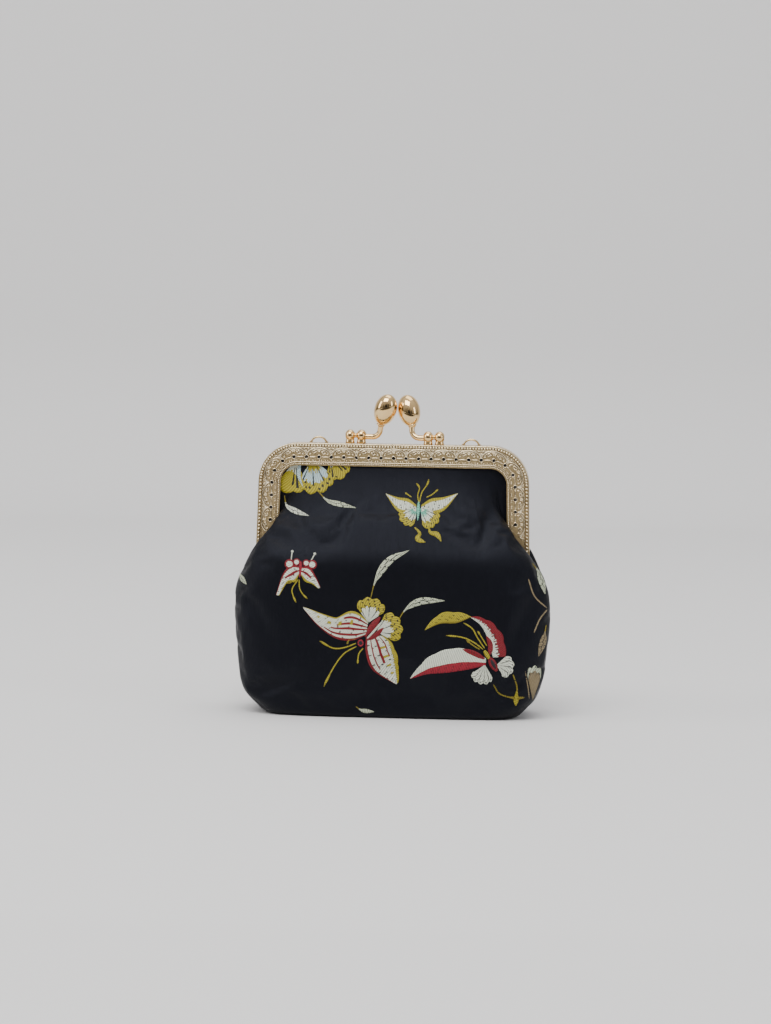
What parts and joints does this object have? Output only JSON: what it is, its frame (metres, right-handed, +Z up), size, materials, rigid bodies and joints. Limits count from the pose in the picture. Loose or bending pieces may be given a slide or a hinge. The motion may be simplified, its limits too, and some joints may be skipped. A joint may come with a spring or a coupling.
{
  "type": "coin purse",
  "caption": "Small standing coin purse: padded black brocade pouch with a patterned gold frame that opens on two rivets and shuts with a crossed ball clasp.",
  "frame": {"origin": "centre of the flat base, on the surface the purse stands on", "axes": "+Z up to the clasp, -Y the front with the embroidered butterflies, X along the hinge line between the two rivets"},
  "size_m": [0.121, 0.0418, 0.1236],
  "materials": {
    "frame_gold": "pale champagne gold plating, pressed relief, satin",
    "clasp_gold": "polished warm gold plating",
    "wire_gold": "bright gold-plated wire",
    "brocade": "black satin brocade with navy sheen and coloured woven butterflies",
    "wadding": "soft white polyester wadding",
    "lining": "plain dark woven lining",
    "thread": "black sewing thread"
  },
  "bodies": {
    "bag": {"back_lining": "lining", "back_outer_panel": "brocade", "back_wadding": "wadding", "front_lining": "lining", "front_outer_panel": "brocade", "front_wadding": "wadding", "left_hinge_rivet": "frame_gold", "right_hinge_rivet": "frame_gold"},
    "front_half": {"front_clasp_ball": "clasp_gold", "front_clasp_beads": "clasp_gold", "front_clasp_collar": "clasp_gold", "front_clasp_feet": "clasp_gold", "front_clasp_stem": "clasp_gold", "front_frame": "frame_gold", "front_mouth_lining": "lining", "front_mouth_outer_panel": "brocade", "front_mouth_wadding": "wadding", "front_sewing_thread": "thread"},
    "back_half": {"back_clasp_ball": "clasp_gold", "back_clasp_beads": "clasp_gold", "back_clasp_collar": "clasp_gold", "back_clasp_feet": "clasp_gold", "back_clasp_stem": "clasp_gold", "back_frame": "frame_gold", "back_mouth_lining": "lining", "back_mouth_outer_panel": "brocade", "back_mouth_wadding": "wadding", "back_sewing_thread": "thread", "left_chain_loop": "wire_gold", "right_chain_loop": "wire_gold"}
  },
  "joints": [
    {"name": "front_half_open", "type": "hinge", "parent": "bag", "child": "front_half", "pos_m": [0, 0, 0.0575], "axis": [1, 0, 0], "range_deg": [0, 45]},
    {"name": "back_half_open", "type": "hinge", "parent": "bag", "child": "back_half", "pos_m": [0, 0, 0.0575], "axis": [1, 0, 0], "range_deg": [-45, 0]}
  ],
  "couplings": [
    {"joint": "back_half_open", "follows": "front_half_open", "ratio": -1}
  ]
}
